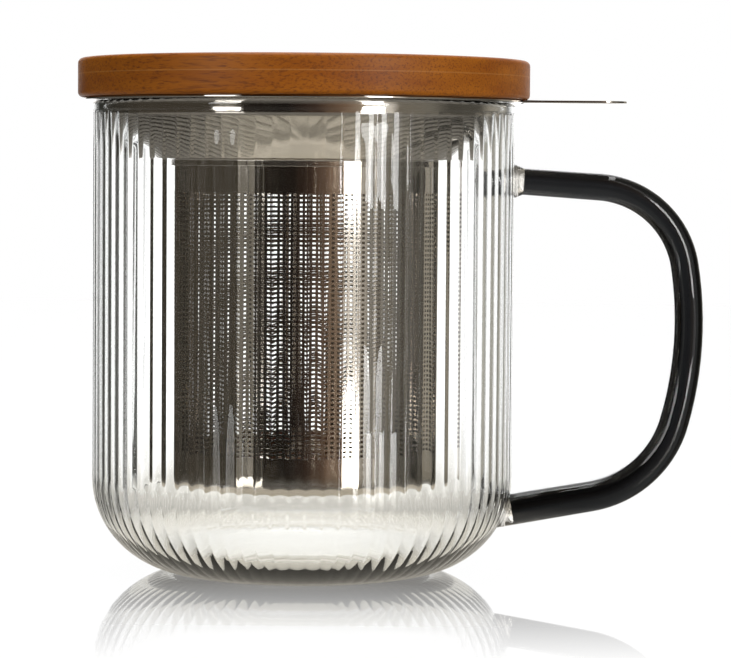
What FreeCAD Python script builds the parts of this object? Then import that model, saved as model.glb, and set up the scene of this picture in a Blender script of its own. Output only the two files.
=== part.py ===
import FreeCAD, Part
import math
import os

import Sketcher
from FreeCAD import Rotation, Vector

# Driving sizes in millimetres and degrees. The origin is the centre of the foot, +Z is up
# and the handle points along +X.
SIZES = {
    # Blown glass cup
    "cup_height": 97.9,
    "cup_radius": 44.0,           # over the rib crests
    "wall_thickness": 2.2,        # rib crest to smooth inner wall
    "base_thickness": 4.0,
    "corner_radius": 20.0,        # outer corner at the rib crests
    "inner_corner_radius": 16.0,
    "rib_count": 80,
    "rib_round_radius": 9.0,      # section radius of one rib
    "rib_relief": 0.5,            # how far the plain wall lies inside the crests
    "rib_fade_height": 0.1,       # lifts the ribs so that they run out before the foot
    "rim_band_height": 3.3,       # plain band above the ribs
    "rim_band_slope": 1.4,
    "rim_proud": 0.2,
    "rim_round_radius": 1.1,
    # Handle bent from a tapered glass rod
    "rod_root_drop": 16.05,       # rim to the centre line where it meets the wall at the top
    "rod_top_radius": 2.76,
    "rod_end_radius": 3.28,
    "rod_start_dip": 3.7,         # angle of the top arm below level
    "rod_top_run": 16.0,
    "shoulder_bend_radius": 19.45,
    "shoulder_bend_angle": 77.0,
    "lower_arm_height": 15.81,    # centre line where the heel bend runs out into the bottom arm
    "grip_bend_angle": 24.9,
    "heel_bend_radius": 21.9,
    "heel_bend_angle": 64.5,
    "pad_flare": 1.35,            # how much wider a weld pad is at the wall than at the rod
    "pad_length": 1.9,            # from the crests to the end of the rod at the top
    "heel_pad_length": 1.4,       # the same at the bottom, along the arm
    "pad_root_depth": 1.3,        # how far a pad reaches in behind the crests
    # Infuser of sheet steel
    "sheet_thickness": 0.5,
    "seat_gap": 0.1,              # between parts that rest on each other
    "flange_overhang": 1.7,       # past the cup's rim
    "collar_clearance": 0.6,      # collar to cup wall
    "collar_bend_radius": 0.8,
    "collar_band_height": 3.2,    # straight mouth above the cone
    "collar_height": 12.0,        # rim to ledge
    "ledge_width": 3.2,           # from the neck to the foot of the cone
    "ledge_round_radius": 0.9,
    "neck_height": 1.4,
    "tube_radius": 29.3,
    "infuser_depth": 79.4,        # rim to underside of the base
    "base_cap_height": 4.0,
    "base_cap_round_radius": 2.0,
    "tab_length": 21.1,           # past the flange
    "tab_width": 20.0,
    "tab_round_radius": 6.0,
    "tab_root_overlap": 3.3,      # how far the tab's strip runs in under the flange's edge
    # Bamboo lid with a silicone ring on its plug
    "lid_overhang": 1.1,          # past the flange
    "lid_thickness": 8.05,
    "lid_round_radius": 1.0,
    "plug_clearance": 1.1,        # plug to collar
    "plug_depth": 3.4,
    "plug_round_radius": 0.6,
    "groove_depth": 1.4,
    "groove_height": 1.8,
    "groove_offset": 0.8,         # lid underside to groove
    "ring_clearance": 0.25,       # ring to collar
    "ring_round_radius": 0.6,
}

doc = FreeCAD.newDocument("TeaMug")
sheet = doc.addObject("Spreadsheet::Sheet", "Sizes")
for row, (alias, value) in enumerate(SIZES.items(), start=1):
    sheet.set(f"A{row}", alias)
    sheet.set(f"B{row}", str(value))
    sheet.setAlias(f"B{row}", alias)
doc.recompute()


def size(alias):
    """Value of one cell, for the shapes that are made in code."""
    return float(sheet.get(alias))


def bound(expression):
    """Expression text in which every size name points at its cell."""
    for alias in sorted(SIZES, key=len, reverse=True):
        expression = expression.replace(f"<{alias}>", f"Sizes.{alias}")
    return expression


# Heights and radii that several pieces share
INNER_RADIUS = "(<cup_radius> - <wall_thickness>)"
FLANGE_RADIUS = "(<cup_radius> + <rim_proud> + <flange_overhang>)"
FLANGE_BOTTOM = "(<cup_height> + <seat_gap>)"
FLANGE_TOP = f"({FLANGE_BOTTOM} + <sheet_thickness>)"
TAB_TIP = f"({FLANGE_RADIUS} + <tab_length>)"
TAB_ROOT = f"({FLANGE_RADIUS} - <tab_root_overlap>)"
LID_BOTTOM = f"({FLANGE_TOP} + <seat_gap>)"
LID_RADIUS = f"({FLANGE_RADIUS} + <lid_overhang>)"
COLLAR_OUTER = f"({INNER_RADIUS} - <collar_clearance>)"
COLLAR_INNER = f"({COLLAR_OUTER} - <sheet_thickness>)"
LEDGE_BOTTOM = f"({FLANGE_BOTTOM} - <collar_height>)"
LEDGE_TOP = f"({LEDGE_BOTTOM} + <sheet_thickness>)"
NECK_RADIUS = "(<tube_radius> + <sheet_thickness>)"
LEDGE_RADIUS = f"({NECK_RADIUS} + <ledge_width>)"
TUBE_INNER = "(<tube_radius> - <sheet_thickness>)"
BASE_BOTTOM = "(<cup_height> - <infuser_depth>)"
CAP_TOP = f"({BASE_BOTTOM} + <base_cap_height>)"
PLUG_RADIUS = f"({COLLAR_INNER} - <plug_clearance>)"


def origin_plane(body, role):
    return next(item for item in body.Origin.OriginFeatures if item.Role == role)


def arc_edge(start, end, radius, turn):
    """Arc from start to end; turn is 1 for counter-clockwise and -1 for clockwise."""
    chord = end - start
    middle = (start + end) * 0.5
    across = Vector(-chord.y, chord.x, 0).normalize()
    sagitta_arm = math.sqrt(max(radius**2 - (chord.Length / 2) ** 2, 0.0))
    centre = middle + across * (sagitta_arm * turn)
    first, last = (start, end) if turn > 0 else (end, start)
    angles = [math.atan2(point.y - centre.y, point.x - centre.x) for point in (first, last)]
    return Part.ArcOfCircle(Part.Circle(centre, Vector(0, 0, 1), radius), *angles)


def draw_outline(sketch, corners):
    """Closed outline. A corner is (across, up), or (across, up, radius, turn) before an arc."""
    points = []
    for corner in corners:
        across, up = (sketch.evalExpression(bound(text)) for text in corner[:2])
        points.append(Vector(float(across), float(up), 0))
    ends = []
    for index, corner in enumerate(corners):
        start = points[index]
        end = points[(index + 1) % len(points)]
        if len(corner) == 4:
            radius = float(sketch.evalExpression(bound(corner[2])))
            edge = sketch.addGeometry(arc_edge(start, end, radius, corner[3]), False)
            hold(sketch, "Radius", (edge,), corner[2], f"radius_{index}")
            ends.append((edge, 1, 2) if corner[3] > 0 else (edge, 2, 1))
        else:
            edge = sketch.addGeometry(Part.LineSegment(start, end), False)
            ends.append((edge, 1, 2))
    for index, (edge, first, last) in enumerate(ends):
        after, after_first, _ = ends[(index + 1) % len(ends)]
        sketch.addConstraint(Sketcher.Constraint("Coincident", edge, last, after, after_first))
        across, up = corners[index][:2]
        if across == "0":
            sketch.addConstraint(Sketcher.Constraint("PointOnObject", edge, first, -2))
        else:
            hold(sketch, "DistanceX", (-1, 1, edge, first), across, f"across_{index}")
        if up == "0":
            sketch.addConstraint(Sketcher.Constraint("PointOnObject", edge, first, -1))
        else:
            hold(sketch, "DistanceY", (-1, 1, edge, first), up, f"up_{index}")


def hold(sketch, kind, places, expression, name):
    """One dimension of a sketch, bound to the sheet."""
    value = float(sketch.evalExpression(bound(expression)))
    index = sketch.addConstraint(Sketcher.Constraint(kind, *places, value))
    sketch.renameConstraint(index, name)
    sketch.setExpression(f"Constraints.{name}", bound(expression))


def body_sketch(body, name, role, corners):
    sketch = body.newObject("Sketcher::SketchObject", name)
    sketch.AttachmentSupport = (origin_plane(body, role), "")
    sketch.MapMode = "FlatFace"
    draw_outline(sketch, corners)
    return sketch


def turned_body(label, corners):
    """Body whose half section is turned once round the upright axis."""
    body = doc.addObject("PartDesign::Body", label)
    sketch = body_sketch(body, f"{label}_section", "XZ_Plane", corners)
    turning = body.newObject("PartDesign::Revolution", f"{label}_turned")
    turning.Profile = sketch
    turning.ReferenceAxis = (sketch, ["V_Axis"])
    turning.Angle = 360
    sketch.Visibility = False
    doc.recompute()
    return body


def round_rings(body, rings, radius):
    """Fillet the circular edges that lie at the given radius and height."""
    base = body.Tip
    names = []
    for ring_radius, height in rings:
        for index, edge in enumerate(base.Shape.Edges, start=1):
            circle = edge.Curve
            same = isinstance(circle, Part.Circle) and abs(circle.Radius - ring_radius) < 1e-4
            if same and abs(circle.Center.z - height) < 1e-4:
                names.append(f"Edge{index}")
    fillet = body.newObject("PartDesign::Fillet", f"{body.Name}_round")
    fillet.Base = (base, names)
    fillet.Radius = size(radius)
    fillet.setExpression("Radius", bound(f"<{radius}>"))
    doc.recompute()
    return fillet


def value_of(expression):
    return float(sheet.evalExpression(bound(expression)))


def make_infuser_collar():
    """Pressed mouth: flat flange, straight band, cone, ledge and neck, with a lifting tab."""
    bend_out = f"({COLLAR_OUTER} + <collar_bend_radius>)"
    bend_low = f"({FLANGE_BOTTOM} - <collar_bend_radius>)"
    upper_bend = "(<collar_bend_radius> + <sheet_thickness>)"
    band_low = f"({FLANGE_BOTTOM} - <collar_band_height>)"
    # The cone keeps the sheet's thickness: its inner face is moved level by thickness / cosine
    lean = f"atan(({COLLAR_OUTER} - {LEDGE_RADIUS}) / ({band_low} - {LEDGE_BOTTOM}))"
    shift = f"(<sheet_thickness> * tan({lean} / 2))"
    ledge_inner = f"({LEDGE_RADIUS} - <sheet_thickness> / cos({lean}) + <sheet_thickness> * tan({lean}))"
    body = turned_body("infuser_collar", [
        (NECK_RADIUS, f"({LEDGE_BOTTOM} - <neck_height>)"),
        (NECK_RADIUS, LEDGE_BOTTOM),
        (LEDGE_RADIUS, LEDGE_BOTTOM),
        (COLLAR_OUTER, band_low),
        (COLLAR_OUTER, bend_low, "<collar_bend_radius>", -1),
        (bend_out, FLANGE_BOTTOM),
        (FLANGE_RADIUS, FLANGE_BOTTOM),
        (FLANGE_RADIUS, FLANGE_TOP),
        (bend_out, FLANGE_TOP, upper_bend, 1),
        (COLLAR_INNER, bend_low),
        (COLLAR_INNER, f"({band_low} + {shift})"),
        (ledge_inner, LEDGE_TOP),
        ("<tube_radius>", LEDGE_TOP),
        ("<tube_radius>", f"({LEDGE_BOTTOM} - <neck_height>)"),
    ])
    round_rings(body, [(value_of(LEDGE_RADIUS), value_of(LEDGE_BOTTOM))], "ledge_round_radius")
    half = "(<tab_width> / 2)"
    tab = body_sketch(body, "tab_outline", "XY_Plane", [
        (TAB_ROOT, f"(0 - {half})"),
        (f"({TAB_TIP} - <tab_round_radius>)", f"(0 - {half})", "<tab_round_radius>", 1),
        (TAB_TIP, f"(<tab_round_radius> - {half})"),
        (TAB_TIP, f"({half} - <tab_round_radius>)", "<tab_round_radius>", 1),
        (f"({TAB_TIP} - <tab_round_radius>)", half),
        (TAB_ROOT, half),
    ])
    tab.setExpression("AttachmentOffset.Base.z", bound(FLANGE_BOTTOM))
    pad = body.newObject("PartDesign::Pad", "tab")
    pad.Profile = tab
    pad.setExpression("Length", bound("<sheet_thickness>"))
    tab.Visibility = False
    doc.recompute()
    return body


def make_infuser_tube():
    """Rolled tube of the filter, which stands in the neck and on the base cap."""
    return turned_body("infuser_tube", [
        (TUBE_INNER, CAP_TOP),
        ("<tube_radius>", CAP_TOP),
        ("<tube_radius>", LEDGE_TOP),
        (TUBE_INNER, LEDGE_TOP),
    ])


def make_infuser_base():
    """Shallow pressed cap that closes the tube."""
    inner_round = "(<base_cap_round_radius> - <sheet_thickness>)"
    floor = f"({BASE_BOTTOM} + <sheet_thickness>)"
    corner_in = "(<tube_radius> - <base_cap_round_radius>)"
    corner_up = f"({BASE_BOTTOM} + <base_cap_round_radius>)"
    return turned_body("infuser_base", [
        ("0", BASE_BOTTOM),
        (corner_in, BASE_BOTTOM, "<base_cap_round_radius>", 1),
        ("<tube_radius>", corner_up),
        ("<tube_radius>", CAP_TOP),
        (TUBE_INNER, CAP_TOP),
        (TUBE_INNER, corner_up, inner_round, -1),
        (corner_in, floor),
        ("0", floor),
    ])


def make_lid_disc():
    """Turned bamboo disc with a plug underneath and a groove for the ring."""
    top = f"({LID_BOTTOM} + <lid_thickness>)"
    edge_in = f"({LID_RADIUS} - <lid_round_radius>)"
    plug_low = f"({LID_BOTTOM} - <plug_depth>)"
    groove_high = f"({LID_BOTTOM} - <groove_offset>)"
    groove_low = f"({groove_high} - <groove_height>)"
    groove_in = f"({PLUG_RADIUS} - <groove_depth>)"
    return turned_body("lid_disc", [
        ("0", plug_low),
        (f"({PLUG_RADIUS} - <plug_round_radius>)", plug_low, "<plug_round_radius>", 1),
        (PLUG_RADIUS, f"({plug_low} + <plug_round_radius>)"),
        (PLUG_RADIUS, groove_low),
        (groove_in, groove_low),
        (groove_in, groove_high),
        (PLUG_RADIUS, groove_high),
        (PLUG_RADIUS, LID_BOTTOM),
        (edge_in, LID_BOTTOM, "<lid_round_radius>", 1),
        (LID_RADIUS, f"({LID_BOTTOM} + <lid_round_radius>)"),
        (LID_RADIUS, f"({top} - <lid_round_radius>)", "<lid_round_radius>", 1),
        (edge_in, top),
        ("0", top),
    ])


def make_lid_ring():
    """Silicone ring that fills the groove and stands proud of the plug."""
    high = f"({LID_BOTTOM} - <groove_offset>)"
    low = f"({high} - <groove_height>)"
    inner = f"({PLUG_RADIUS} - <groove_depth>)"
    outer = f"({COLLAR_INNER} - <ring_clearance>)"
    outer_in = f"({outer} - <ring_round_radius>)"
    return turned_body("lid_ring", [
        (inner, low),
        (outer_in, low, "<ring_round_radius>", 1),
        (outer, f"({low} + <ring_round_radius>)"),
        (outer, f"({high} - <ring_round_radius>)", "<ring_round_radius>", 1),
        (outer_in, high),
        (inner, high),
    ])


def section_turned(name, corners, part_turn):
    """Half section turned round the upright axis by part_turn degrees, outside any body."""
    sketch = doc.addObject("Sketcher::SketchObject", f"{name}_section")
    sketch.Placement = FreeCAD.Placement(Vector(), Rotation(Vector(1, 0, 0), 90))
    draw_outline(sketch, corners)
    turning = doc.addObject("Part::Revolution", name)
    turning.Source = sketch
    turning.Axis = Vector(0, 0, 1)
    turning.Base = Vector(0, 0, 0)
    turning.Solid = True
    turning.Symmetric = True
    turning.setExpression("Angle", bound(part_turn))
    return turning


def make_cup_sector():
    """One rib's share of the cup, a wedge between two upright planes."""
    core_radius = "(<cup_radius> - <rib_relief>)"
    core_foot = f"({core_radius} - <corner_radius>)"
    band_low = "(<cup_height> - <rim_band_height>)"
    rim_radius = "(<cup_radius> + <rim_proud>)"
    inner_foot = f"({INNER_RADIUS} - <inner_corner_radius>)"
    inner_corner = "(<base_thickness> + <inner_corner_radius>)"
    rim_low = "(<cup_height> - <rim_round_radius>)"
    pitch = "(360 / <rib_count>)"
    wider = "(1080 / <rib_count>)"
    core = section_turned("cup_core", [
        ("0", "0"),
        (core_foot, "0", "<corner_radius>", 1),
        (core_radius, "<corner_radius>"),
        (core_radius, band_low),
        (rim_radius, f"({band_low} + <rim_band_slope>)"),
        (rim_radius, rim_low, "<rim_round_radius>", 1),
        (f"({rim_radius} - <rim_round_radius>)", "<cup_height>"),
        ("0", "<cup_height>"),
    ], wider)
    hollow = section_turned("cup_hollow", [
        ("0", "<base_thickness>"),
        (inner_foot, "<base_thickness>", "<inner_corner_radius>", 1),
        (INNER_RADIUS, inner_corner),
        (INNER_RADIUS, rim_low, "<rim_round_radius>", -1),
        (f"({INNER_RADIUS} + <rim_round_radius>)", "<cup_height>"),
        (f"({INNER_RADIUS} + <rim_round_radius>)", "(<cup_height> + <rim_band_height>)"),
        ("0", "(<cup_height> + <rim_band_height>)"),
    ], wider)
    rib_centre = "(<cup_radius> - <rib_round_radius>)"
    bend_height = "(<corner_radius> + <rib_fade_height>)"
    rib = doc.addObject("Part::Cylinder", "rib_upright")
    rib.setExpression("Radius", bound("<rib_round_radius>"))
    rib.setExpression("Height", bound(f"{band_low} + <rim_band_slope> / 2 - {bend_height}"))
    rib.setExpression("Placement.Base.x", bound(rib_centre))
    rib.setExpression("Placement.Base.z", bound(bend_height))
    bend = doc.addObject("Part::Torus", "rib_bend")
    bend.setExpression("Radius1", bound("<corner_radius> - <rib_round_radius>"))
    bend.setExpression("Radius2", bound("<rib_round_radius>"))
    bend.Angle3 = 90
    bend.Placement = FreeCAD.Placement(Vector(), Rotation(Vector(1, 0, 0), Vector(0, 0, -1), Vector(0, 1, 0)))
    bend.setExpression("Placement.Base.x", bound("<cup_radius> - <corner_radius>"))
    bend.setExpression("Placement.Base.z", bound(bend_height))
    whole = doc.addObject("Part::MultiFuse", "cup_whole")
    whole.Shapes = [core, rib, bend]
    walled = doc.addObject("Part::Cut", "cup_walled")
    walled.Base = whole
    walled.Tool = hollow
    wedge = doc.addObject("Part::Cylinder", "cup_wedge")
    wedge.setExpression("Radius", bound("2 * <cup_radius>"))
    wedge.setExpression("Height", bound("2 * <cup_height>"))
    wedge.setExpression("Angle", bound(pitch))
    wedge.Placement.Base = Vector(0, 0, -size("base_thickness"))
    wedge.setExpression("Placement.Rotation.Angle", bound(f"0 - {pitch} / 2"))
    sector = doc.addObject("Part::Common", "cup_sector")
    sector.Base = walled
    sector.Tool = wedge
    doc.recompute()
    return sector


def make_cup_glass(sector):
    """All the sectors joined into one closed skin, with the seams between them removed."""
    count = int(size("rib_count"))
    skin = []
    for face in sector.Shape.removeSplitter().Faces:
        middle = face.CenterOfMass
        normal = face.normalAt(*face.Surface.parameter(middle))
        bearing = math.atan2(middle.y, middle.x)
        along_radius = abs(normal.x * math.cos(bearing) + normal.y * math.sin(bearing))
        flat = isinstance(face.Surface, Part.Plane)
        if not (flat and abs(normal.z) < 1e-6 and along_radius < 1e-3):
            skin.append(face)
    turned = []
    for index in range(count):
        for face in skin:
            copy = face.copy()
            copy.rotate(Vector(), Vector(0, 0, 1), index * 360 / count)
            turned.append(copy)
    shell = Part.Shell(turned)
    shell.sewShape()
    cup = doc.addObject("Part::Feature", "cup_glass")
    cup.Shape = Part.makeSolid(shell).removeSplitter()
    return cup


def along(heading):
    """Unit vector of a heading in the upright plane of the handle."""
    return Vector(math.cos(heading), 0, math.sin(heading))


def bend_shift(heading, angle):
    """Way from start to end of a downward bend of unit radius."""
    after = heading - angle
    return Vector(math.sin(heading) - math.sin(after), 0, math.cos(after) - math.cos(heading))


def rod_path():
    """Joints of the rod's centre line, as (place, heading), and the radii of its bends.
    The grip's radius is the one that brings the bottom arm to its height."""
    heading = -math.radians(size("rod_start_dip"))
    angles = [math.radians(size(f"{name}_bend_angle")) for name in ("shoulder", "grip", "heel")]
    top_wall = Vector(size("cup_radius"), 0, size("cup_height") - size("rod_root_drop"))
    place = top_wall + along(heading) * (size("pad_length") / math.cos(heading))
    joints = [(place, heading)]
    place = place + along(heading) * size("rod_top_run")
    joints.append((place, heading))
    drops = [bend_shift(heading - sum(angles[:index]), angle).z for index, angle in enumerate(angles)]
    fall = size("lower_arm_height") - place.z
    ends = drops[0] * size("shoulder_bend_radius") + drops[2] * size("heel_bend_radius")
    radii = [size("shoulder_bend_radius"), (fall - ends) / drops[1], size("heel_bend_radius")]
    for radius, angle in zip(radii, angles):
        place = place + bend_shift(heading, angle) * radius
        heading -= angle
        joints.append((place, heading))
    wall_point, _ = heel_wall_point(place, heading)
    place = place + along(heading) * ((wall_point - place).Length - size("heel_pad_length"))
    joints.append((place, heading))
    return joints, radii


def arc_between(first, second, radius):
    """Arc that leaves one joint along its heading and ends at the next."""
    place, heading = first
    middle = place + bend_shift(heading, (heading - second[1]) / 2) * radius
    return Part.Arc(place, middle, second[0]).toShape()


def make_handle_rod(joints, radii):
    """Glass rod that thickens evenly from its top arm to its bottom arm."""
    places = [joint[0] for joint in joints]
    edges = [Part.LineSegment(places[0], places[1]).toShape()]
    for index, radius in enumerate(radii, start=1):
        edges.append(arc_between(joints[index], joints[index + 1], radius))
    edges.append(Part.LineSegment(places[-2], places[-1]).toShape())
    spine = Part.Wire(edges)
    ends = []
    for (place, heading), radius in ((joints[0], size("rod_top_radius")),
                                     (joints[-1], size("rod_end_radius"))):
        ends.append(Part.Wire([Part.Circle(place, along(heading), radius).toShape()]))
    rod = doc.addObject("Part::Feature", "handle_rod")
    rod.Shape = spine.makePipeShell(ends, True, False)
    return rod


def heel_wall_point(place, heading):
    """Where the bottom arm's line meets the round outer corner, and the corner's way inward."""
    corner = size("corner_radius")
    centre = Vector(size("cup_radius") - corner, 0, corner)
    offset = place - centre
    half = offset.dot(along(heading))
    reach = -half - math.sqrt(max(half**2 - offset.dot(offset) + corner**2, 0.0))
    point = place + along(heading) * reach
    return point, (centre - point).normalize()


def make_weld_pad(label, rod_end, rod_radius, wall_point, inward, cup):
    """Flared button of clear glass from the rod's end to the wall, shaped to the ribs there."""
    place, heading = rod_end
    rod_ring = doc.addObject("Part::Circle", f"{label}_rod_ring")
    rod_ring.setExpression("Radius", bound(rod_radius))
    rod_ring.Placement = FreeCAD.Placement(place, Rotation(Vector(0, 0, 1), along(heading)))
    wall_ring = doc.addObject("Part::Circle", f"{label}_wall_ring")
    wall_ring.setExpression("Radius", bound(f"{rod_radius} + <pad_flare>"))
    root = wall_point + inward * size("pad_root_depth")
    wall_ring.Placement = FreeCAD.Placement(root, Rotation(Vector(0, 0, 1), inward))
    blank = doc.addObject("Part::Loft", f"{label}_blank")
    blank.Sections = [rod_ring, wall_ring]
    blank.Solid = True
    blank.Ruled = True
    pad = doc.addObject("Part::Cut", label)
    pad.Base = blank
    pad.Tool = cup
    doc.recompute()
    return pad


cup_glass = make_cup_glass(make_cup_sector())
rod_joints, rod_radii = rod_path()
handle_rod = make_handle_rod(rod_joints, rod_radii)
top_place, top_heading = rod_joints[0]
top_wall = top_place - along(top_heading) * (size("pad_length") / math.cos(top_heading))
weld_upper = make_weld_pad(
    "handle_weld_upper", (top_place, top_heading + math.pi), "<rod_top_radius>",
    top_wall, Vector(-1, 0, 0), cup_glass)
weld_lower = make_weld_pad(
    "handle_weld_lower", rod_joints[-1], "<rod_end_radius>",
    *heel_wall_point(*rod_joints[-2]), cup_glass)
pieces = [
    cup_glass,
    handle_rod,
    weld_upper,
    weld_lower,
    make_infuser_collar(),
    make_infuser_tube(),
    make_infuser_base(),
    make_lid_disc(),
    make_lid_ring(),
]
doc.recompute()

for item in doc.Objects:
    if "Invalid" in item.State or "Error" in item.State:
        raise RuntimeError(f"{item.Name} did not build: {item.State}")
for piece in pieces:
    if piece.Shape.isNull() or not piece.Shape.isValid() or not piece.Shape.Solids:
        raise RuntimeError(f"{piece.Label} has no sound solid")

os.makedirs("parts", exist_ok=True)
for piece in pieces:
    piece.Shape.exportStep(f"parts/{piece.Label}.step")
    print(piece.Label, len(piece.Shape.Solids), round(piece.Shape.Volume, 1))
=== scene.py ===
import math

import bmesh
import bpy
from bpy.props import FloatProperty, FloatVectorProperty, IntProperty, PointerProperty
from mathutils import Euler, Matrix, Vector


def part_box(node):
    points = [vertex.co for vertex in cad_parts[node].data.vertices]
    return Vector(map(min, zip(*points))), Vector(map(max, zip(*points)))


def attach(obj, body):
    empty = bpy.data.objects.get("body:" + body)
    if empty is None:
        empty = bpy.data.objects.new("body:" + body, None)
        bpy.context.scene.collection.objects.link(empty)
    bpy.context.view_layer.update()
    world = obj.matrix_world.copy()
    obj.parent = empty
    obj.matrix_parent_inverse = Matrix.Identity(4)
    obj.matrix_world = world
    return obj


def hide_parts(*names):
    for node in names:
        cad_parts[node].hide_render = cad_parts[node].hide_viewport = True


bl_info = {
    "name": "Lidded Tea Mug with Infuser",
    "version": (1, 0, 0),
    "blender": (4, 5, 0),
    "location": "3D View > Sidebar > Tea Mug",
    "description": "Ribbed glass mug with a bamboo lid and a perforated steel infuser",
    "category": "Add Mesh",
}

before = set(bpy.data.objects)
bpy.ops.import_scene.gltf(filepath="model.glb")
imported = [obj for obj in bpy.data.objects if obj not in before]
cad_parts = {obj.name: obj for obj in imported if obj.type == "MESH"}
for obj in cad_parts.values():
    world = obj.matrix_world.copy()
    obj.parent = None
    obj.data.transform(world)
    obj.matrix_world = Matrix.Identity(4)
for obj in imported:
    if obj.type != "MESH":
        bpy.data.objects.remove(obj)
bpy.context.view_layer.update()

MM = 0.001
TUBE_RADIUS = 29.3 * MM
TURNED_STEPS = 240


def hex_linear(code):
    """sRGB hex colour such as "#9A5A1C" as a linear colour."""
    channels = [int(code[i:i + 2], 16) / 255 for i in (1, 3, 5)]
    linear = [c / 12.92 if c <= 0.04045 else ((c + 0.055) / 1.055) ** 2.4 for c in channels]
    return (*linear, 1.0)


def half_width(node):
    """Largest reach of a CAD node from the mug's axis, on the side away from the handle."""
    return -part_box(node)[0].x


def length(name, description, default):
    """Length setting in metres."""
    return FloatProperty(name=name, description=description, default=default, unit="LENGTH", min=0.0)


def colour(name, description, code):
    """Colour setting from an sRGB hex colour."""
    return FloatVectorProperty(name=name, description=description, default=hex_linear(code),
                               size=4, subtype="COLOR", min=0.0, max=1.0)


class TeaMugSizes(bpy.types.PropertyGroup):
    """Sizes of the mug, in metres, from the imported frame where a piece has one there."""
    cup_height: length("Cup height", "Foot to rim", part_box("cup_glass")[1].z)
    rim_radius: length("Rim radius", "Outside of the plain rim band", half_width("cup_glass"))
    crest_radius: length("Crest radius", "Axis to the crest of a rib", 44.0 * MM)
    wall: length("Wall", "Rib crest to the inner wall, without its wave", 2.2 * MM)
    base: length("Base", "Thickness of the cup's floor", 4.0 * MM)
    corner_radius: length("Corner radius", "Outer round corner at the rib crests", 20.0 * MM)
    inner_corner: length("Inner corner", "Round corner inside the cup", 16.0 * MM)
    rib_count: IntProperty(name="Ribs", description="Ribs round the cup", default=80, min=8)
    rib_section: length("Rib section", "Radius of one rib's round back", 12.0 * MM)
    rib_relief: length("Rib relief", "Plain wall lies this far inside the crests", 0.5 * MM)
    inner_share: FloatProperty(name="Inner ribbing",
                               description="Share of the ribs' wave that the inner wall follows",
                               default=0.8, min=0.0, max=1.0)
    rim_band: length("Rim band", "Plain band above the ribs", 3.3 * MM)
    rim_slope: length("Rim slope", "Height over which the band swells out", 1.4 * MM)
    sheet: length("Sheet", "Thickness of the infuser's steel", 0.5 * MM)
    hole_pitch: length("Hole pitch", "Distance between etched holes", 0.955 * MM)
    hole_size: length("Hole size", "Width of one etched hole", 0.34 * MM)
    holes_low: length("Holes start", "Height of the lowest row of holes", 26.4 * MM)
    holes_high: length("Holes end", "Height of the highest row of holes", 79.2 * MM)


class TeaMugColours(bpy.types.PropertyGroup):
    """Colours that a user would change."""
    bamboo_light: colour("Bamboo", "Ground colour of the carbonised bamboo", "#A25C10")
    bamboo_dark: colour("Bamboo fibre", "Colour of the fibre bundles", "#5E2F12")
    steel: colour("Steel", "Stainless steel of the infuser", "#CFC9C0")
    smoke: colour("Smoke", "What the handle's glass lets through", "#50565C")
    silicone: colour("Silicone", "Sealing ring", "#D8D8D2")
    floor: colour("Floor", "Pale studio floor", "#F6F6F6")


def sizes():
    return bpy.context.scene.tea_mug_sizes


def colours():
    return bpy.context.scene.tea_mug_colours


# Materials

def add_node(tree, kind, settings=None, links=None):
    """Node with its settings and the sockets that feed it. A key in settings is a socket's
    name or an attribute's name; a value in links is (node, output)."""
    node = tree.nodes.new(kind)
    for key, value in (settings or {}).items():
        if isinstance(key, int) or key in node.inputs:
            node.inputs[key].default_value = value
        else:
            setattr(node, key, value)
    for key, (source, output) in (links or {}).items():
        tree.links.new(source.outputs[output], node.inputs[key])
    return node


def new_material(name):
    """Empty material, its node tree and its output node."""
    material = bpy.data.materials.new(name)
    material.use_nodes = True
    tree = material.node_tree
    tree.nodes.clear()
    return material, tree, add_node(tree, "ShaderNodeOutputMaterial")


def ramp(tree, source, output, stops):
    """Colour ramp over (position, colour) stops."""
    node = add_node(tree, "ShaderNodeValToRGB", links={"Fac": (source, output)})
    elements = node.color_ramp.elements
    while len(elements) < len(stops):
        elements.new(0.5)
    for element, (position, value) in zip(elements, stops):
        element.position = position
        element.color = value
    return node


# How strongly each glass absorbs: clear glass is faintly green where thick, the smoked rod is
# nearly black through its middle, and the welds have a slight amber cast
CLEAR_DENSITY = 14.0
SMOKE_DENSITY = 900.0
WELD_DENSITY = 60.0


def glass_material(name, tint, density):
    """Smooth borosilicate glass whose tint deepens with its thickness."""
    material, tree, output = new_material(name)
    shader = add_node(tree, "ShaderNodeBsdfPrincipled", {
        "Base Color": (1.0, 1.0, 1.0, 1.0), "Roughness": 0.0, "IOR": 1.47,
        "Transmission Weight": 1.0})
    body = add_node(tree, "ShaderNodeVolumeAbsorption", {"Color": tint, "Density": density})
    tree.links.new(shader.outputs["BSDF"], output.inputs["Surface"])
    tree.links.new(body.outputs["Volume"], output.inputs["Volume"])
    return material


def steel_material(name, rolled):
    """Stainless sheet. Rolled sheet has fine upright rolling marks, pressed sheet is polished."""
    material, tree, output = new_material(name)
    place = add_node(tree, "ShaderNodeTexCoord")
    stretch = add_node(tree, "ShaderNodeMapping", {"Scale": (900.0, 900.0, 12.0 if rolled else 300.0)},
                       {"Vector": (place, "Object")})
    marks = add_node(tree, "ShaderNodeTexNoise", {"Scale": 1.0, "Detail": 3.0},
                     {"Vector": (stretch, "Vector")})
    polish = add_node(tree, "ShaderNodeMapRange", {
        "From Min": 0.3, "From Max": 0.7, "To Min": 0.04, "To Max": 0.1 if rolled else 0.07},
        {"Value": (marks, "Fac")})
    shader = add_node(tree, "ShaderNodeBsdfPrincipled", {
        "Base Color": tuple(colours().steel), "Metallic": 1.0}, {"Roughness": (polish, "Result")})
    tree.links.new(shader.outputs["BSDF"], output.inputs["Surface"])
    return material


SEAM_HEIGHT = 103.3 * MM
SEAM_HALF_WIDTH = 0.12 * MM
SEAM_SHARE = 0.3


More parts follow.
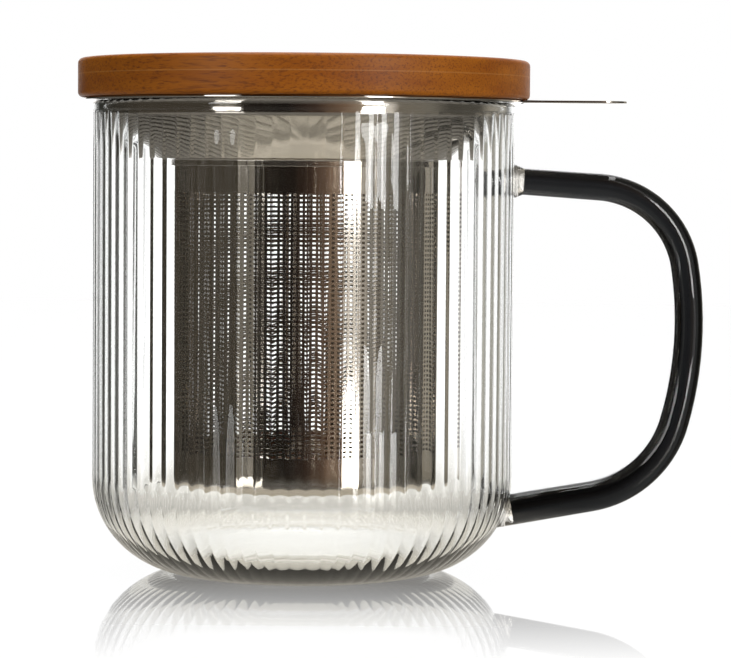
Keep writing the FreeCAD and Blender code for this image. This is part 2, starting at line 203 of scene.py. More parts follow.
def bamboo_material():
    """Carbonised bamboo board, turned and satin lacquered. The fibre bundles run one way through
    the disc: long streaks where the edge is cut along them, dots where it is cut across."""
    material, tree, output = new_material("Carbonised bamboo")
    place = add_node(tree, "ShaderNodeTexCoord")
    along = add_node(tree, "ShaderNodeMapping", {"Rotation": (0.0, 0.0, math.radians(25))},
                     {"Vector": (place, "Object")})
    # Bundles are about 0.5 mm apart and run on for a centimetre or more
    fine = add_node(tree, "ShaderNodeMapping", {"Scale": (160.0, 2600.0, 2600.0)},
                    {"Vector": (along, "Vector")})
    broad = add_node(tree, "ShaderNodeMapping", {"Scale": (14.0, 60.0, 260.0)},
                     {"Vector": (along, "Vector")})
    bundles = add_node(tree, "ShaderNodeTexNoise", {"Scale": 1.0, "Detail": 2.5, "Roughness": 0.6},
                       {"Vector": (fine, "Vector")})
    bands = add_node(tree, "ShaderNodeTexNoise", {"Scale": 1.0, "Detail": 3.0, "Roughness": 0.55},
                     {"Vector": (broad, "Vector")})
    ground = ramp(tree, bands, "Fac", [
        (0.3, hex_linear("#904C0B")), (0.5, tuple(colours().bamboo_light)), (0.7, hex_linear("#AE6616"))])
    dots = ramp(tree, bundles, "Fac", [(0.3, (0.75, 0.75, 0.75, 1)), (0.52, (0, 0, 0, 1))])
    wood = add_node(tree, "ShaderNodeMix", {"data_type": "RGBA"})
    tree.links.new(dots.outputs["Color"], wood.inputs["Factor"])
    tree.links.new(ground.outputs["Color"], wood.inputs[6])
    wood.inputs[7].default_value = tuple(colours().bamboo_dark)
    relief = add_node(tree, "ShaderNodeBump", {"Strength": 0.5, "Distance": 0.00008},
                      {"Height": (bundles, "Fac")})
    shader = add_node(tree, "ShaderNodeBsdfPrincipled", {
        "Roughness": 0.48, "Specular IOR Level": 0.2, "Coat Weight": 0.05, "Coat Roughness": 0.28},
        {"Normal": (relief, "Normal")})
    # A faint pale line runs level round the edge, about two fifths of the way down
    height = add_node(tree, "ShaderNodeSeparateXYZ", links={"Vector": (place, "Object")})
    at_seam = add_node(tree, "ShaderNodeMath", {
        "operation": "COMPARE", 1: SEAM_HEIGHT, 2: SEAM_HALF_WIDTH}, {0: (height, "Z")})
    faint = add_node(tree, "ShaderNodeMath", {"operation": "MULTIPLY", 1: SEAM_SHARE},
                     {0: (at_seam, "Value")})
    seamed = add_node(tree, "ShaderNodeMix", {"data_type": "RGBA", 7: hex_linear("#C89050")},
                      {0: (faint, "Value"), 6: (wood, 2)})
    tree.links.new(seamed.outputs[2], shader.inputs["Base Color"])
    tree.links.new(shader.outputs["BSDF"], output.inputs["Surface"])
    return material


def silicone_material():
    """Moulded silicone: soft sheen, milky."""
    material, tree, output = new_material("Moulded silicone")
    place = add_node(tree, "ShaderNodeTexCoord")
    grain = add_node(tree, "ShaderNodeTexNoise", {"Scale": 2500.0, "Detail": 2.0},
                     {"Vector": (place, "Object")})
    relief = add_node(tree, "ShaderNodeBump", {"Strength": 0.08, "Distance": 0.00002},
                      {"Height": (grain, "Fac")})
    shader = add_node(tree, "ShaderNodeBsdfPrincipled", {
        "Base Color": tuple(colours().silicone), "Roughness": 0.42, "Subsurface Weight": 0.2,
        "Subsurface Radius": (0.002, 0.002, 0.002)}, {"Normal": (relief, "Normal")})
    tree.links.new(shader.outputs["BSDF"], output.inputs["Surface"])
    return material


# Mesh tools

def rounded(corners, steps=6):
    """Outline through (r, z, radius) corners, each with a radius rounded by an arc."""
    points = []
    for index, (r, z, radius) in enumerate(corners):
        here = Vector((r, z))
        if not radius:
            points.append(here)
            continue
        before = Vector(corners[index - 1][:2]) - here
        after = Vector(corners[(index + 1) % len(corners)][:2]) - here
        half = before.angle(after) / 2
        set_back = radius / math.tan(half)
        first = here + before.normalized() * set_back
        last = here + after.normalized() * set_back
        inward = (before.normalized() + after.normalized()).normalized()
        centre = here + inward * (radius / math.sin(half))
        for step in range(steps + 1):
            share = step / steps
            spoke = (first - centre).normalized().slerp((last - centre).normalized(), share)
            points.append(centre + spoke * radius)
    return points


def spun(mesh, geometry, angle, steps, copies=False):
    """Geometry swept, or copied, round the mug's axis."""
    bmesh.ops.spin(mesh, geom=geometry, cent=(0, 0, 0), axis=(0, 0, 1), dvec=(0, 0, 0), angle=angle,
                   steps=steps, use_merge=not copies and angle == math.tau, use_normal_flip=False,
                   use_duplicate=copies)


def outline_mesh(outline, closed):
    """Mesh with only the outline of (r, z) points, on the half plane of +X."""
    mesh = bmesh.new()
    verts = [mesh.verts.new((point[0], 0.0, point[1])) for point in outline]
    ends = verts[1:] + verts[:1] if closed else verts[1:]
    for pair in zip(verts, ends):
        mesh.edges.new(pair)
    return mesh


def turned_mesh(outline, steps, closed=True):
    """Outline of (r, z) points spun once round the mug's axis."""
    mesh = outline_mesh(outline, closed)
    spun(mesh, mesh.verts[:] + mesh.edges[:], math.tau, steps)
    bmesh.ops.remove_doubles(mesh, verts=mesh.verts, dist=1e-7)
    bmesh.ops.recalc_face_normals(mesh, faces=mesh.faces)
    return mesh


def finish_piece(mesh, name, material, body, nodes, smooth_angle=35.0):
    """Object from a mesh, shaded, coloured and tied to its body. The CAD nodes it stands in for are hidden.
    """
    for edge in mesh.edges:
        folded = len(edge.link_faces) == 2 and edge.calc_face_angle(0.0) >= math.radians(smooth_angle)
        edge.smooth = not folded
    for face in mesh.faces:
        face.smooth = True
    data = bpy.data.meshes.new(name)
    mesh.to_mesh(data)
    mesh.free()
    piece = bpy.data.objects.new(name, data)
    bpy.context.scene.collection.objects.link(piece)
    piece.data.materials.append(material)
    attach(piece, body)
    if nodes:
        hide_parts(*nodes)


# Cup

CUP_STEPS_PER_RIB = 14
CORNER_ROWS = 26
LIP_ROUND = 1.1 * MM
WAVE_START = 6.0 * MM
WAVE_FADE = 4.0 * MM


def rib_drop(radius, angle):
    """How far the surface lies inside the crests at an angle from a rib's middle."""
    section = sizes().rib_section
    across = min(abs(radius * math.sin(angle)), section)
    return section - math.sqrt(section**2 - across**2)


def cup_profile():
    """Rows of (r, z, lean, core drop) down the outside, from the rim's slope to the foot.
    The lean is how far the wall's normal points down. The core drop is how far the plain wall
    under the ribs lies inside the crests."""
    size = sizes()
    band_low = size.cup_height - size.rim_band
    slope_high = band_low + size.rim_slope
    swell = size.rim_radius - size.crest_radius
    rows = []
    for step in range(9):
        height = slope_high + (band_low - slope_high) * step / 8
        share = (height - band_low) / size.rim_slope
        rows.append((size.crest_radius, height, 0.0, size.rib_relief * (1 - share) - swell * share))
    for step in range(1, 9):
        height = band_low + (size.corner_radius - band_low) * step / 8
        rows.append((size.crest_radius, height, 0.0, size.rib_relief))
    centre = size.crest_radius - size.corner_radius
    for step in range(1, CORNER_ROWS + 1):
        lean = math.pi / 2 * step / CORNER_ROWS
        r = centre + size.corner_radius * math.cos(lean)
        z = size.corner_radius * (1 - math.sin(lean))
        rows.append((r, z, lean, size.rib_relief * math.cos(lean)))
    return rows


def make_cup_mesh():
    """Ribbed cup: the outside is laid row by row on the rib section. The inner wall follows a
    share of the ribs' wave, and the inner corner and floor are smooth."""
    size = sizes()
    inner = size.crest_radius - size.wall
    rows = cup_profile()
    skin = [Vector((0.0, 0.0))]
    skin += [Vector((r, z)) for r, z, _, _ in reversed(rows)]
    for step in range(7):
        turn = math.pi / 2 * step / 6
        skin.append(Vector((size.rim_radius - LIP_ROUND * (1 - math.cos(turn)),
                            size.cup_height - LIP_ROUND * (1 - math.sin(turn)))))
    for step in range(7):
        turn = math.pi / 2 * (1 - step / 6)
        skin.append(Vector((inner + LIP_ROUND * (1 - math.cos(turn)),
                            size.cup_height - LIP_ROUND * (1 - math.sin(turn)))))
    inside_centre = Vector((inner - size.inner_corner, size.base + size.inner_corner))
    for step in range(CORNER_ROWS + 1):
        lean = math.pi / 2 * step / CORNER_ROWS
        skin.append(inside_centre + size.inner_corner * Vector((math.cos(lean), -math.sin(lean))))
    skin.append(Vector((0.0, size.base)))
    # The wave of the inner wall fades in below the lip and ends where the inner corner begins
    fade_high = size.cup_height - WAVE_START
    wave_rows = [fade_high - step * MM for step in range(5)]
    at = next(i for i, point in enumerate(skin) if i > len(rows) + 10 and point.y < fade_high)
    skin[at:at] = [Vector((inner, height)) for height in wave_rows]
    mesh = outline_mesh(skin, closed=False)
    # One rib's sector, from valley to valley, is laid on the rib section and then copied round
    pitch = math.tau / size.rib_count
    spun(mesh, mesh.verts[:] + mesh.edges[:], pitch, CUP_STEPS_PER_RIB)
    bmesh.ops.rotate(mesh, verts=mesh.verts, cent=(0, 0, 0), matrix=Matrix.Rotation(-pitch / 2, 3, "Z"))
    bmesh.ops.remove_doubles(mesh, verts=mesh.verts, dist=1e-7)
    by_place = {(round(r, 7), round(z, 7)): (lean, core) for r, z, lean, core in rows}
    mean_drop = rib_drop(size.crest_radius, pitch / 2) / 3
    for vert in mesh.verts:
        r = math.hypot(vert.co.x, vert.co.y)
        found = by_place.get((round(r, 7), round(vert.co.z, 7)))
        if abs(r - inner) < 1e-7:
            share = min((fade_high - vert.co.z) / WAVE_FADE, 1.0)
            if share > 0:
                wave = rib_drop(size.crest_radius, math.atan2(vert.co.y, vert.co.x)) - mean_drop
                vert.co.xy *= 1 - share * size.inner_share * wave / r
            continue
        if not found:
            continue
        lean, core = found
        drop = min(rib_drop(r, math.atan2(vert.co.y, vert.co.x)), core)
        outward = Vector((vert.co.x / r * math.cos(lean), vert.co.y / r * math.cos(lean), -math.sin(lean)))
        vert.co -= outward * drop
    spun(mesh, mesh.verts[:] + mesh.edges[:] + mesh.faces[:], math.tau - pitch, size.rib_count - 1,
         copies=True)
    bmesh.ops.remove_doubles(mesh, verts=mesh.verts, dist=2e-6)
    bmesh.ops.recalc_face_normals(mesh, faces=mesh.faces)
    return mesh


class TEAMUG_OT_cup(bpy.types.Operator):
    """Blown ribbed glass cup"""
    bl_idname = "teamug.cup"
    bl_label = "Glass Cup"

    def execute(self, context):
        glass = glass_material("Clear borosilicate glass", hex_linear("#E4F0E8"), CLEAR_DENSITY)
        finish_piece(make_cup_mesh(), "ribbed_cup", glass, "mug", ["cup_glass"],
                     smooth_angle=50)
        return {"FINISHED"}


# Handle

ROD_TOP_RADIUS = 2.76 * MM
ROD_END_RADIUS = 3.28 * MM
ROD_START = Vector((45.9, 0.0, 81.727))
ROD_SLOPE = 3.7
TOP_ARM = 16.0 * MM
# Bends down the rod as (radius in mm, degrees, steps)
BENDS = [(19.45, 77.0, 26), (76.5, 24.9, 12), (21.9, 64.5, 22)]
HEEL_PAD = 1.4 * MM
ARM_STEPS = 4


def handle_line():
    """Points down the rod's centre line: a straight top arm, three bends and a bottom arm."""
    heading = -math.radians(ROD_SLOPE)
    points = [ROD_START * MM]
    for _ in range(ARM_STEPS):
        points.append(points[-1] + Vector((math.cos(heading), 0, math.sin(heading))) * TOP_ARM / ARM_STEPS)
    for bend_radius, degrees, steps in BENDS:
        radius = bend_radius * MM
        for _ in range(steps):
            turn = math.radians(degrees) / steps
            chord = 2 * radius * math.sin(turn / 2)
            heading -= turn / 2
            points.append(points[-1] + Vector((math.cos(heading), 0, math.sin(heading))) * chord)
            heading -= turn / 2
    # The bottom arm runs on to the cup's round corner and stops short by the pad's length
    corner = sizes().corner_radius
    centre = Vector((sizes().crest_radius - corner, 0, corner))
    along = Vector((math.cos(heading), 0, math.sin(heading)))
    offset = points[-1] - centre
    half = offset.dot(along)
    reach = -half - math.sqrt(half**2 - offset.length_squared + corner**2) - HEEL_PAD
    points += [points[-1] + along * reach * step / ARM_STEPS for step in range(1, ARM_STEPS + 1)]
    return points


def make_rod_mesh(top_radius, end_radius, sides=40):
    """Round rod along the handle's line, thickening evenly from top to bottom."""
    line = handle_line()
    lengths = [0.0]
    for first, second in zip(line, line[1:]):
        lengths.append(lengths[-1] + (second - first).length)
    mesh = bmesh.new()
    rings = []
    for index, point in enumerate(line):
        tangent = (line[min(index + 1, len(line) - 1)] - line[max(index - 1, 0)]).normalized()
        share = lengths[index] / lengths[-1]
        radius = top_radius + (end_radius - top_radius) * share
        turn = Matrix.Translation(point) @ tangent.to_track_quat("Z", "Y").to_matrix().to_4x4()
        ring = bmesh.ops.create_circle(mesh, segments=sides, radius=radius, matrix=turn)["verts"]
        rings.append(ring)
    for first, second in zip(rings, rings[1:]):
        edges = ring_edges(first) + ring_edges(second)
        bmesh.ops.bridge_loops(mesh, edges=edges)
    for ring in (rings[0], rings[-1]):
        bmesh.ops.contextual_create(mesh, geom=ring)
    bmesh.ops.recalc_face_normals(mesh, faces=mesh.faces)
    return mesh


def ring_edges(verts):
    """Edges that run between the given vertices."""
    ring = set(verts)
    return list({edge for vert in verts for edge in vert.link_edges if edge.other_vert(vert) in ring})


class TEAMUG_OT_handle(bpy.types.Operator):
    """Bent rod of smoked glass"""
    bl_idname = "teamug.handle"
    bl_label = "Handle"

    def execute(self, context):
        smoked = glass_material("Smoked glass rod", tuple(colours().smoke), SMOKE_DENSITY)
        finish_piece(make_rod_mesh(ROD_TOP_RADIUS, ROD_END_RADIUS), "smoked_handle", smoked, "mug",
                     ["handle_rod"], smooth_angle=50)
        for node in ("handle_weld_upper", "handle_weld_lower"):
            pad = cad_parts[node]
            material = glass_material("Fused clear glass", hex_linear("#E4D8BE"), WELD_DENSITY)
            for index in range(len(pad.material_slots)):
                pad.material_slots[index].material = material
        return {"FINISHED"}


# Infuser

def make_collar_mesh():
    """Pressed mouth of the infuser with its flange, straight band, cone, ledge and neck."""
    size = sizes()
    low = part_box("infuser_collar")[0].z
    flange_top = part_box("infuser_collar")[1].z
    flange_low = flange_top - size.sheet
    flange_radius = 45.9 * MM
    outer = 41.2 * MM
    ledge = 33.0 * MM
    neck = 29.8 * MM
    band_height = 3.2 * MM
    neck_height = 1.4 * MM
    band_low = flange_low - band_height
    ledge_low = low + neck_height
    sheet = size.sheet
    lean = math.atan((outer - ledge) / (band_low - ledge_low))
    shift = sheet * math.tan(lean / 2)
    ledge_in = ledge - sheet / math.cos(lean) + sheet * math.tan(lean)
    outline = rounded([
        (neck, low, 0.12 * MM), (neck, ledge_low, 0.35 * MM), (ledge, ledge_low, 0.9 * MM),
        (outer, band_low, 1.2 * MM), (outer, flange_low, 0.8 * MM),
        (flange_radius, flange_low, 0.15 * MM), (flange_radius, flange_top, 0.2 * MM),
        (outer - sheet, flange_top, 1.2 * MM), (outer - sheet, band_low + shift, 0.9 * MM),
        (ledge_in, ledge_low + sheet, 0.5 * MM), (neck - sheet, ledge_low + sheet, 0.1 * MM),
        (neck - sheet, low, 0.1 * MM)], steps=5)
    return turned_mesh(outline, TURNED_STEPS)


def make_tab_mesh():
    """Flat lifting tab in line with the flange, with round corners and softened edges."""
    size = sizes()
    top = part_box("infuser_collar")[1].z
    tip, root, half, corner = 67.0 * MM, 45.0 * MM, 10.0 * MM, 6.0 * MM
    mesh = bmesh.new()
    points = [Vector((root, -half)), Vector((root, half))]
    for centre_y, start in ((half - corner, 90), (corner - half, 0)):
        for step in range(9):
            angle = math.radians(start - 90 * step / 8)
            points.append(Vector((tip - corner + corner * math.cos(angle),
                                  centre_y + corner * math.sin(angle))))
    face = mesh.faces.new([mesh.verts.new((point.x, point.y, top - size.sheet)) for point in points])
    grown = bmesh.ops.extrude_face_region(mesh, geom=[face])
    moved = [item for item in grown["geom"] if isinstance(item, bmesh.types.BMVert)]
    bmesh.ops.translate(mesh, verts=moved, vec=(0, 0, size.sheet))
    rims = [edge for edge in mesh.edges if abs(edge.verts[0].co.z - edge.verts[1].co.z) < 1e-6]
    bmesh.ops.bevel(mesh, geom=rims, offset=0.12 * MM, segments=2, affect="EDGES", profile=0.5, material=-1)
    bmesh.ops.recalc_face_normals(mesh, faces=mesh.faces)
    return mesh


def make_plain_band(low, high):
    """Plain part of the rolled tube between two heights."""
    inner = TUBE_RADIUS - sizes().sheet
    return turned_mesh([Vector((inner, low)), Vector((TUBE_RADIUS, low)), Vector((TUBE_RADIUS, high)),
                        Vector((inner, high))], TURNED_STEPS)


def make_holes_mesh(low, rows):
    """Rolled sheet with one square etched hole in each cell of a fine grid."""
    size = sizes()
    columns = round(math.tau * TUBE_RADIUS / size.hole_pitch)
    mesh = bmesh.new()
    ring = bmesh.ops.create_circle(mesh, segments=columns, radius=TUBE_RADIUS)["verts"]
    bmesh.ops.translate(mesh, verts=ring, vec=(0, 0, low))
    edges = ring_edges(ring)
    for _ in range(rows):
        grown = bmesh.ops.extrude_edge_only(mesh, edges=edges)["geom"]
        verts = [item for item in grown if isinstance(item, bmesh.types.BMVert)]
        edges = [item for item in grown if isinstance(item, bmesh.types.BMEdge)]
        bmesh.ops.translate(mesh, verts=verts, vec=(0, 0, size.hole_pitch))
    bmesh.ops.recalc_face_normals(mesh, faces=mesh.faces)
    frame_width = (size.hole_pitch - size.hole_size) / 2
    cells = list(mesh.faces)
    bmesh.ops.inset_individual(mesh, faces=cells, thickness=frame_width, depth=0.0)
    bmesh.ops.delete(mesh, geom=cells, context="FACES")
    bmesh.ops.solidify(mesh, geom=list(mesh.faces), thickness=size.sheet * 0.6)
    bmesh.ops.recalc_face_normals(mesh, faces=mesh.faces)
    return mesh


def make_base_mesh():
    """Shallow pressed cap with a rounded edge."""
    size = sizes()
    low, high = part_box("infuser_base")
    sheet = size.sheet
    corner = 2.0 * MM
    inner = TUBE_RADIUS - sheet
    outline = rounded([(0.0, low.z, 0.0), (TUBE_RADIUS, low.z, corner), (TUBE_RADIUS, high.z, 0.0),
                       (inner, high.z, 0.0), (inner, low.z + sheet, corner - sheet),
                       (0.0, low.z + sheet, 0.0)], steps=8)
    return turned_mesh(outline, TURNED_STEPS, closed=False)


class TEAMUG_OT_infuser(bpy.types.Operator):
    """Lift-out infuser of stainless sheet"""
    bl_idname = "teamug.infuser"
    bl_label = "Infuser"

    def execute(self, context):
        size = sizes()
        pressed = steel_material("Polished pressed stainless steel", rolled=False)
        rolled = steel_material("Rolled etched stainless steel", rolled=True)
        finish_piece(make_collar_mesh(), "infuser_mouth", pressed, "infuser", ["infuser_collar"])
        finish_piece(make_tab_mesh(), "infuser_tab", pressed, "infuser", [])
        finish_piece(make_base_mesh(), "infuser_cap", pressed, "infuser", ["infuser_base"])
        low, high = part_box("infuser_tube")
        rows = round((size.holes_high - size.holes_low) / size.hole_pitch) + 1
        start = size.holes_low - size.hole_pitch / 2
        half = rows // 2
        middle = start + half * size.hole_pitch
        end = start + rows * size.hole_pitch
        finish_piece(make_holes_mesh(start, half), "infuser_holes_low", rolled, "infuser",
                     ["infuser_tube"])
        finish_piece(make_holes_mesh(middle, rows - half), "infuser_holes_high", rolled, "infuser",
                     [])
        finish_piece(make_plain_band(low.z, start), "infuser_band_low", rolled, "infuser", [])
        finish_piece(make_plain_band(end, high.z), "infuser_band_high", rolled, "infuser", [])
        return {"FINISHED"}


# Lid

def make_lid_mesh():
    """Turned bamboo disc with its plug and the groove for the ring."""
    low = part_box("lid_disc")[0].z
    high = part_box("lid_disc")[1].z
    outer = 47.0 * MM
    thickness = 8.05 * MM
    edge_low = high - thickness
    plug = 39.6 * MM
    groove_high = edge_low - 0.8 * MM
    groove_low = groove_high - 1.8 * MM
    groove_in = plug - 1.4 * MM
    outline = rounded([
        (0.0, low, 0.0), (plug, low, 0.6 * MM), (plug, groove_low, 0.1 * MM),
        (groove_in, groove_low, 0.1 * MM), (groove_in, groove_high, 0.1 * MM),
        (plug, groove_high, 0.1 * MM), (plug, edge_low, 0.15 * MM), (outer, edge_low, 1.0 * MM),
        (outer, high, 1.1 * MM), (0.0, high, 0.0)], steps=6)
    return turned_mesh(outline, TURNED_STEPS, closed=False)


def make_ring_mesh():
    """Silicone ring with a soft outer lip."""
    low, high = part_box("lid_ring")
    inner = 38.2 * MM
    outer = half_width("lid_ring")
    outline = rounded([(inner, low.z, 0.1 * MM), (outer, low.z, 0.6 * MM), (outer, high.z, 0.6 * MM),
                       (inner, high.z, 0.1 * MM)], steps=6)
    return turned_mesh(outline, 200)


class TEAMUG_OT_lid(bpy.types.Operator):
    """Lift-off bamboo lid with its sealing ring"""
    bl_idname = "teamug.lid"
    bl_label = "Lid"

    def execute(self, context):
        finish_piece(make_lid_mesh(), "bamboo_lid", bamboo_material(), "lid", ["lid_disc"])
        finish_piece(make_ring_mesh(), "sealing_ring", silicone_material(), "lid", ["lid_ring"])
        return {"FINISHED"}


# Stage

# Surround as (bearing, colour). Bearing 0 is behind the camera, positive to the right, and
# the white sweep behind the mug is at 180. The steel shows these as upright bands.
SURROUND = [
    (-180, "#FFFFFF"), (-160, "#FFFFFF"), (-155, "#1F201D"), (-100, "#3C3832"), (-52, "#3A362F"),
    (-46, "#77746D"), (-40, "#77746D"), (-33, "#1F1B17"), (-8, "#181512"), (8, "#362A23"),
    (24, "#6A5646"), (34, "#887A6C"), (40, "#D2CEC8"), (50, "#D2CEC8"), (56, "#6C675E"),
    (76, "#6C6962"), (90, "#45433E"), (118, "#4A4843"), (128, "#8C887F"), (144, "#8C887F"),
    (151, "#21221E"), (160, "#FFFFFF"), (180, "#FFFFFF")]
SWEEP_STRENGTH = 1.5
FLOOR_RADIUS = 1.2
# A hair below the foot, so that no two faces lie in the same plane
FLOOR_DROP = 0.05 * MM
# Painted pool of light: for all but camera rays the floor glows at the first strength within the first
# radius of the axis and at the second beyond the second radius, standing in for light brought down through
# the glass
PAINTED_POOL_EDGE = (0.05, 0.062)
PAINTED_POOL_GLOW = (0.8, 0.14)
CAMERA_GLOW = 1.1
LIT_SHARE = 0.15
# Painted shade in the floor's mirror: for all but camera rays the mirror takes this darker warm colour near
# the mug, fading to white between the two reaches
PAINTED_MIRROR_SHADE_REACH = (0.1, 0.3)
PAINTED_MIRROR_SHADE_COLOUR = (0.6, 0.58, 0.53, 1.0)
MIRROR_FADE_REACH = (-0.115, -0.02)
MIRROR_FADE = (0.06, 0.85)
# Soft boxes as (name, place, target, width, height, power)
LIGHTS = [
    ("key", (0.62, -0.75, 0.35), (0, 0, 0.09), 0.22, 0.6, 4.0),
    ("fill", (-0.66, -0.74, 0.4), (0, 0, 0.06), 0.3, 0.6, 2.5),
    ("top", (0.0, 0.1, 0.9), (0, 0, 0.05), 0.6, 0.6, 5.0)]
# The camera that took the photo, in pixels, millimetres and degrees
PHOTO_WIDTH = 731
FOCAL_PIXELS = 2964.0
SENSOR_WIDTH = 36.0
CAMERA_PLACE = Vector((13.12, -620.0, 85.74))
CAMERA_PITCH = 3.239
CAMERA_ROLL = 0.42


def stage_world():
    """Studio surround: a white sweep behind the mug and a dim warm room with soft boxes in
    front, which only reflections and refractions see. The camera sees white."""
    world = bpy.data.worlds.new("Studio")
    bpy.context.scene.world = world
    world.use_nodes = True
    tree = world.node_tree
    tree.nodes.clear()
    output = add_node(tree, "ShaderNodeOutputWorld")
    path = add_node(tree, "ShaderNodeLightPath")
    place = add_node(tree, "ShaderNodeTexCoord")
    split = add_node(tree, "ShaderNodeSeparateXYZ", links={"Vector": (place, "Generated")})
    front = add_node(tree, "ShaderNodeMath", {"operation": "MULTIPLY", 1: -1.0}, {0: (split, "Y")})
    bearing = add_node(tree, "ShaderNodeMath", {"operation": "ARCTAN2"},
                       {0: (split, "X"), 1: (front, "Value")})
    turn = add_node(tree, "ShaderNodeMapRange", {"From Min": -math.pi, "From Max": math.pi},
                    {"Value": (bearing, "Value")})
    around = ramp(tree, turn, "Result", [
        ((degrees + 180) / 360, hex_linear(code)) for degrees, code in SURROUND])
    dim = add_node(tree, "ShaderNodeBackground", {"Strength": SWEEP_STRENGTH}, {"Color": (around, "Color")})
    white = add_node(tree, "ShaderNodeBackground", {"Color": (1, 1, 1, 1), "Strength": 1.0})
    shown = add_node(tree, "ShaderNodeMixShader", links={
        "Fac": (path, "Is Camera Ray"), 1: (dim, "Background"), 2: (white, "Background")})
    tree.links.new(shown.outputs["Shader"], output.inputs["Surface"])


def floor_material():
    """Glossy white acrylic that mirrors the white sweep at a low angle and is dim from above,
    with a painted pool of warm light under the mug, a glow that stands in for light through the
    glass, and painted warm shade in its mirror near the mug. The mug's mirror image fades towards the
    camera."""
    material, tree, output = new_material("Glossy acrylic floor")
    path = add_node(tree, "ShaderNodeLightPath")
    place = add_node(tree, "ShaderNodeTexCoord")
    split = add_node(tree, "ShaderNodeSeparateXYZ", links={"Vector": (place, "Object")})
    spread = add_node(tree, "ShaderNodeVectorMath", {"operation": "LENGTH"}, {0: (place, "Object")})
    # Painted pool of light under the mug: a glow for all but camera rays
    pool = add_node(tree, "ShaderNodeMapRange", {
        "From Min": PAINTED_POOL_EDGE[0], "From Max": PAINTED_POOL_EDGE[1], "To Min": PAINTED_POOL_GLOW[0],
        "To Max": PAINTED_POOL_GLOW[1]}, {"Value": (spread, "Value")})
    bright = add_node(tree, "ShaderNodeMix", {"data_type": "FLOAT", 3: CAMERA_GLOW},
                      {0: (path, "Is Camera Ray"), 2: (pool, "Result")})
    warm = add_node(tree, "ShaderNodeMix", {"data_type": "RGBA", 6: hex_linear("#FFF8E8"),
                                            7: (1, 1, 1, 1)}, {0: (path, "Is Camera Ray")})
    glow = add_node(tree, "ShaderNodeEmission", {}, {"Color": (warm, 2), "Strength": (bright, 0)})
    grain = add_node(tree, "ShaderNodeTexNoise", {"Scale": 900.0}, {"Vector": (place, "Object")})
    tone = ramp(tree, grain, "Fac", [(0.0, hex_linear("#F4F4F4")), (1.0, tuple(colours().floor))])
    matt = add_node(tree, "ShaderNodeBsdfDiffuse", {}, {"Color": (tone, "Color")})
    lit = add_node(tree, "ShaderNodeMixShader", {"Fac": LIT_SHARE},
                   {1: (glow, "Emission"), 2: (matt, "BSDF")})
    # Painted warm shade in the mirror near the mug, which shows through the glass
    near = add_node(tree, "ShaderNodeMapRange", {
        "From Min": PAINTED_MIRROR_SHADE_REACH[0], "From Max": PAINTED_MIRROR_SHADE_REACH[1]}, {"Value": (spread, "Value")})
    painted_mirror_shade = ramp(tree, near, "Result", [(0.0, PAINTED_MIRROR_SHADE_COLOUR), (1.0, (1.0, 1.0, 1.0, 1.0))])
    tint = add_node(tree, "ShaderNodeMix", {"data_type": "RGBA", 7: (1 / SWEEP_STRENGTH,) * 3 + (1,)},
                    {0: (path, "Is Camera Ray"), 6: (painted_mirror_shade, "Color")})
    mirror = add_node(tree, "ShaderNodeBsdfGlossy", {"Roughness": 0.02}, {"Color": (tint, 2)})
    fade = add_node(tree, "ShaderNodeMapRange", {
        "From Min": MIRROR_FADE_REACH[0], "From Max": MIRROR_FADE_REACH[1], "To Min": MIRROR_FADE[0],
        "To Max": MIRROR_FADE[1]}, {"Value": (split, "Y")})
    grazing = add_node(tree, "ShaderNodeFresnel", {"IOR": 1.5})
    doubled = add_node(tree, "ShaderNodeMath", {"operation": "MULTIPLY", 1: 2.0, "use_clamp": True},
                       {0: (grazing, "Fac")})
    share = add_node(tree, "ShaderNodeMix", {"data_type": "FLOAT"},
                     {0: (path, "Is Camera Ray"), 2: (doubled, "Value"), 3: (fade, "Result")})
    shown = add_node(tree, "ShaderNodeMixShader", links={"Fac": (share, 0), 1: (lit, "Shader"),
                                                        2: (mirror, "BSDF")})
    tree.links.new(shown.outputs["Shader"], output.inputs["Surface"])
    return material


def add_area(name, place, target, width, height, power):
    """Soft box that faces a point."""
    light = bpy.data.lights.new(name, "AREA")
    light.shape = "RECTANGLE"
    light.size = width
    light.size_y = height
    light.energy = power
    lamp = bpy.data.objects.new(name, light)
    lamp.location = place
    lamp.rotation_euler = (Vector(target) - Vector(place)).to_track_quat("-Z", "Y").to_euler()
    bpy.context.scene.collection.objects.link(lamp)


def add_camera():
    """Camera at the photo's place: found from the lid's and foot's ellipses and the sides' taper."""
    data = bpy.data.cameras.new("Camera")
    data.sensor_width = SENSOR_WIDTH
    data.lens = FOCAL_PIXELS / PHOTO_WIDTH * SENSOR_WIDTH
    data.clip_start, data.clip_end = 0.01, 20.0
    camera = bpy.data.objects.new("Camera", data)
    camera.location = CAMERA_PLACE * MM
    pitch, roll = math.radians(CAMERA_PITCH), math.radians(CAMERA_ROLL)
    facing = Euler((math.pi / 2 - pitch, 0, 0)).to_matrix() @ Matrix.Rotation(roll, 3, "Z")
    camera.rotation_euler = facing.to_euler()
    bpy.context.scene.collection.objects.link(camera)
    bpy.context.scene.camera = camera


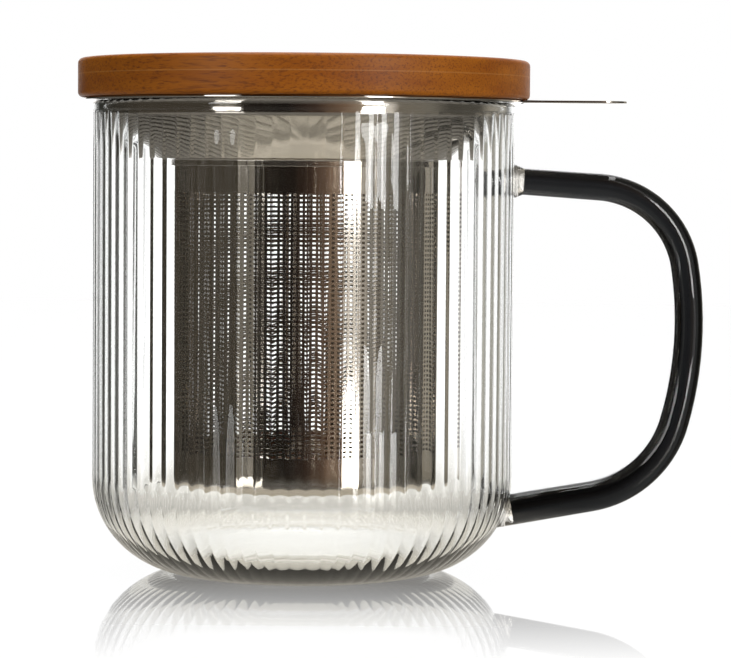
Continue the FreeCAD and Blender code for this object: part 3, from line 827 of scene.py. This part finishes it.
class TEAMUG_OT_stage(bpy.types.Operator):
    """Pale floor, soft studio light and the camera"""
    bl_idname = "teamug.stage"
    bl_label = "Stage"

    def execute(self, context):
        stage_world()
        mesh = bmesh.new()
        bmesh.ops.create_circle(mesh, cap_ends=True, segments=96, radius=FLOOR_RADIUS)
        bmesh.ops.translate(mesh, verts=mesh.verts, vec=(0, 0, -FLOOR_DROP))
        data = bpy.data.meshes.new("floor")
        mesh.to_mesh(data)
        mesh.free()
        floor = bpy.data.objects.new("floor", data)
        bpy.context.scene.collection.objects.link(floor)
        floor.data.materials.append(floor_material())
        for light in LIGHTS:
            add_area(*light)
        add_camera()
        bpy.context.scene.view_settings.view_transform = "Standard"
        return {"FINISHED"}


OPERATORS = (TEAMUG_OT_stage, TEAMUG_OT_cup, TEAMUG_OT_handle, TEAMUG_OT_infuser, TEAMUG_OT_lid)


class TEAMUG_PT_panel(bpy.types.Panel):
    """Sidebar list of the mug's pieces"""
    bl_label = "Tea Mug"
    bl_idname = "TEAMUG_PT_panel"
    bl_space_type = "VIEW_3D"
    bl_region_type = "UI"
    bl_category = "Tea Mug"

    def draw(self, context):
        for operator in OPERATORS:
            self.layout.operator(operator.bl_idname)
        for group in (context.scene.tea_mug_sizes, context.scene.tea_mug_colours):
            for name in group.__annotations__:
                self.layout.prop(group, name)


CLASSES = (TeaMugSizes, TeaMugColours, *OPERATORS, TEAMUG_PT_panel)


def register():
    for cls in CLASSES:
        bpy.utils.register_class(cls)
    bpy.types.Scene.tea_mug_sizes = PointerProperty(type=TeaMugSizes)
    bpy.types.Scene.tea_mug_colours = PointerProperty(type=TeaMugColours)


def unregister():
    del bpy.types.Scene.tea_mug_colours
    del bpy.types.Scene.tea_mug_sizes
    for cls in reversed(CLASSES):
        bpy.utils.unregister_class(cls)


def main():
    register()
    bpy.ops.teamug.stage()
    bpy.ops.teamug.cup()
    bpy.ops.teamug.handle()
    bpy.ops.teamug.infuser()
    bpy.ops.teamug.lid()


if __name__ == "__main__":
    main()
